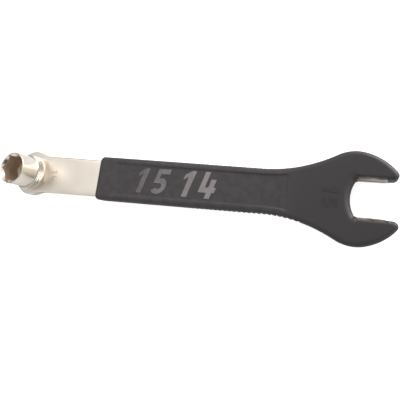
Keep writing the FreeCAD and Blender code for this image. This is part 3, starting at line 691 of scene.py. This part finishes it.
def numerals(name, text, height, lean, raise_by, middle, level, turned=0.0):
    """Figures in a row, each a prism on its outline.

    They are scaled to a height, leant by x + y * tan(lean), centred, turned by an angle a to
    (x cos a + y sin a, y cos a - x sin a) and set on a level.
    """
    pen, outlines = 0.0, []
    for letter in text:
        if letter != " ":
            outlines.append((figure(letter) + (pen, 0)) * height)
        pen += SPACE if letter == " " else ADVANCE
    line = np.concatenate(outlines)
    slant, a = math.tan(math.radians(lean)), math.radians(turned)
    centre = (line[:, 0].max() / 2 + height / 2 * slant, height / 2)
    line = np.c_[line[:, 0] + line[:, 1] * slant, line[:, 1]] - centre
    line = line @ np.array([(math.cos(a), -math.sin(a)), (math.sin(a), math.cos(a))]) + middle
    corners = np.concatenate([np.c_[line, np.full(len(line), height_at)]
                              for height_at in (level, level + raise_by)])
    faces, first = [], 0
    for outline in outlines:
        low = np.arange(first, first + len(outline))
        high = low + len(line)
        faces += [low.tolist(), high.tolist()]
        faces += np.stack([np.roll(low, 1), low, high, np.roll(high, 1)], 1).tolist()
        first += len(outline)
    mesh = bpy.data.meshes.new(name)
    mesh.from_pydata((corners * MM).tolist(), [], faces)
    work = bmesh.new()
    work.from_mesh(mesh)
    bmesh.ops.recalc_face_normals(work, faces=work.faces)
    work.to_mesh(mesh)
    work.free()
    piece = bpy.data.objects.new(name, mesh)
    bpy.context.scene.collection.objects.link(piece)
    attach(piece, "root")
    return piece


sizes_mark = numerals("size_numerals", "15 14", 12.8, 18.0, 0.25, (98.0, 0.3),
                      GRIP_HALF_THICK - PANEL_DEPTH - 0.05)
head_mark = numerals("jaw_numeral", "15", 6.2, 0.0, 0.2, (169.6, -0.4),
                     GRIP_HALF_THICK - 0.05, turned=90.0)
strip_mark = numerals("socket_numeral", "14", 4.6, 0.0, 0.08, (17.6, -0.6),
                      BAR_HALF - 0.03, turned=90.0)
# The head's figure is a darker black than the grip: painted shade for the shading round a moulded
# figure.
mark_shade_black, _, _ = moulding("mark_shade_black", (0.017, 0.014, 0.015), (0.024, 0.020, 0.021),
                            330.0, 0.00006)
head_mark.data.materials.append(mark_shade_black)
# The strip's figure is a darker nickel: painted shade for the recess of an engraved figure.
strip_mark_shade, masked = plated_steel("mark_shade_nickel", (1, 1, 1), 2500.0, 0.4, 0.00001,
                                    ((0.60, 0.53, 0.46), (0.72, 0.65, 0.57)), 0.4)
for socket_in in masked:
    socket_in.default_value = 1.0
strip_mark.data.materials.append(strip_mark_shade)

# The grey is rubbed off towards the socket's end and in spots: its paler tone grows with x.
mark_grey, cloud, factor = moulding("mark_grey", (0.060, 0.053, 0.053), (0.235, 0.21, 0.21),
                                    330.0, 0.00004)
tree = mark_grey.node_tree
_, x, _, _ = object_place(tree)
kept = combined(tree, "ADD", ramp(tree, x, 0.072, 0.112, 0.0, 0.75),
                ramp(tree, cloud, 0.0, 1.0, 0.0, 0.3))
tree.links.new(kept, factor)
sizes_mark.data.materials.append(mark_grey)


# The floor is a pale sheet, on which the wrench lies on the flat back of its grip. For the
# camera it is lifted to white, and the wrench's shadow stays on it.

SHEET = 3000.0
corners = np.array([(-1, -1), (1, -1), (1, 1), (-1, 1)]) * SHEET
floor_mesh = bpy.data.meshes.new("floor")
floor_mesh.from_pydata((np.c_[corners, np.full(4, -GRIP_HALF_THICK)] * MM).tolist(), [],
                       [(0, 1, 2, 3)])
floor = bpy.data.objects.new("floor", floor_mesh)
bpy.context.scene.collection.objects.link(floor)
pale_sheet = bpy.data.materials.new("pale_sheet")
tree, principled = shader(pale_sheet)
principled.inputs["Base Color"].default_value = (0.86, 0.86, 0.86, 1)
principled.inputs["Roughness"].default_value = 0.9
principled.inputs["Specular IOR Level"].default_value = 0.0
principled.inputs["Emission Color"].default_value = (1, 1, 1, 1)
path = tree.nodes.new("ShaderNodeLightPath")
lift = ramp(tree, path.outputs["Is Camera Ray"], 0.0, 1.0, 0.0, 0.75)
tree.links.new(lift, principled.inputs["Emission Strength"])
floor_mesh.materials.append(pale_sheet)


# The light is a soft white room, dim low down behind the socket except at one window, and
# brightest low down beyond the head. It is dark straight over the head, where the camera
# hangs, in front of the socket, between two lights, and low down behind the far edges.

world = bpy.data.worlds.new("soft_room")
bpy.context.scene.world = world
world.use_nodes = True
tree = world.node_tree
tree.nodes.clear()
coordinate = tree.nodes.new("ShaderNodeTexCoord")


def directed(way, low, high, value_low, value_high):
    """A strength that follows the cosine between a ray and a direction.

    It takes a smooth step from one value to the other while the cosine goes from low to high.
    """
    cosine = tree.nodes.new("ShaderNodeVectorMath")
    cosine.operation = "DOT_PRODUCT"
    cosine.inputs[1].default_value = Vector(way).normalized()
    strength = tree.nodes.new("ShaderNodeMapRange")
    strength.interpolation_type = "SMOOTHSTEP"
    strength.inputs["From Min"].default_value = low
    strength.inputs["From Max"].default_value = high
    strength.inputs["To Min"].default_value = value_low
    strength.inputs["To Max"].default_value = value_high
    tree.links.new(coordinate.outputs["Generated"], cosine.inputs[0])
    tree.links.new(cosine.outputs["Value"], strength.inputs["Value"])
    return strength.outputs["Result"]


# Each patch multiplies the room's light by its share within a cone round its direction: beyond
# the head, the window behind the socket, over the head, in front of the socket between two
# lights, and behind the far edges.
PATCHES = (
    ((0.6, 0.75, 0.1), 0.82, 0.95, 9.5),
    ((-0.73, -0.62, 0.15), 0.85, 0.95, 4.5),
    ((0.02, 0.14, 0.99), 0.83, 0.97, 0.12),
    ((0.515, -0.552, 0.656), 0.91, 0.955, 0.05),
    ((-0.73, 0.64, 0.2), 0.87, 0.95, 0.12),
)
strength = directed((0.6, 0.35, 0.7), -0.25, 0.25, 0.2, 1.0)
for way, low, high, share in PATCHES:
    strength = combined(tree, "MULTIPLY", strength, directed(way, low, high, 1.0, share))

# The camera itself sees no less than white behind the floor.
path = tree.nodes.new("ShaderNodeLightPath")
strength = combined(tree, "MAXIMUM", strength, path.outputs["Is Camera Ray"])
light = tree.nodes.new("ShaderNodeBackground")
output = tree.nodes.new("ShaderNodeOutputWorld")
tree.links.new(strength, light.inputs["Strength"])
tree.links.new(light.outputs["Background"], output.inputs["Surface"])
light.inputs["Color"].default_value = (1, 1, 1, 1)

# One soft box over the wrench gives its shadow and the highlights on the socket.
BOX_PLACE, BOX_AIM = Vector((-0.15, 0.35, 0.7)), Vector((0.09, 0, 0))
lamp = bpy.data.lights.new("soft_box", "AREA")
lamp.size = 0.6
lamp.energy = 1.5
soft_box = bpy.data.objects.new("soft_box", lamp)
soft_box.location = BOX_PLACE
soft_box.rotation_euler = (BOX_AIM - BOX_PLACE).to_track_quat("-Z", "Y").to_euler()
bpy.context.scene.collection.objects.link(soft_box)


# The camera stands at the photograph's place. Its lens and shift follow from the photograph's
# own perspective: 377.35 pixels of focal length, and an axis through pixel (185, 155) of 400.

PHOTO, FOCAL, AXIS = 400, 377.35473, (185, 155)
lens = bpy.data.cameras.new("camera")
lens.sensor_width = 36.0
lens.lens = FOCAL * lens.sensor_width / PHOTO
lens.shift_x = (PHOTO / 2 - AXIS[0]) / PHOTO
lens.shift_y = (AXIS[1] - PHOTO / 2) / PHOTO
lens.clip_start, lens.clip_end = 0.005, 50.0
camera = bpy.data.objects.new("camera", lens)
camera.location = (0.18223114, -0.02047875, 0.16887785)
camera.rotation_mode = "QUATERNION"
camera.rotation_quaternion = (0.969150303, 0.106217095, 0.218259676, 0.042759001)
bpy.context.scene.collection.objects.link(camera)
bpy.context.scene.camera = camera
bpy.context.scene.view_settings.view_transform = "Standard"
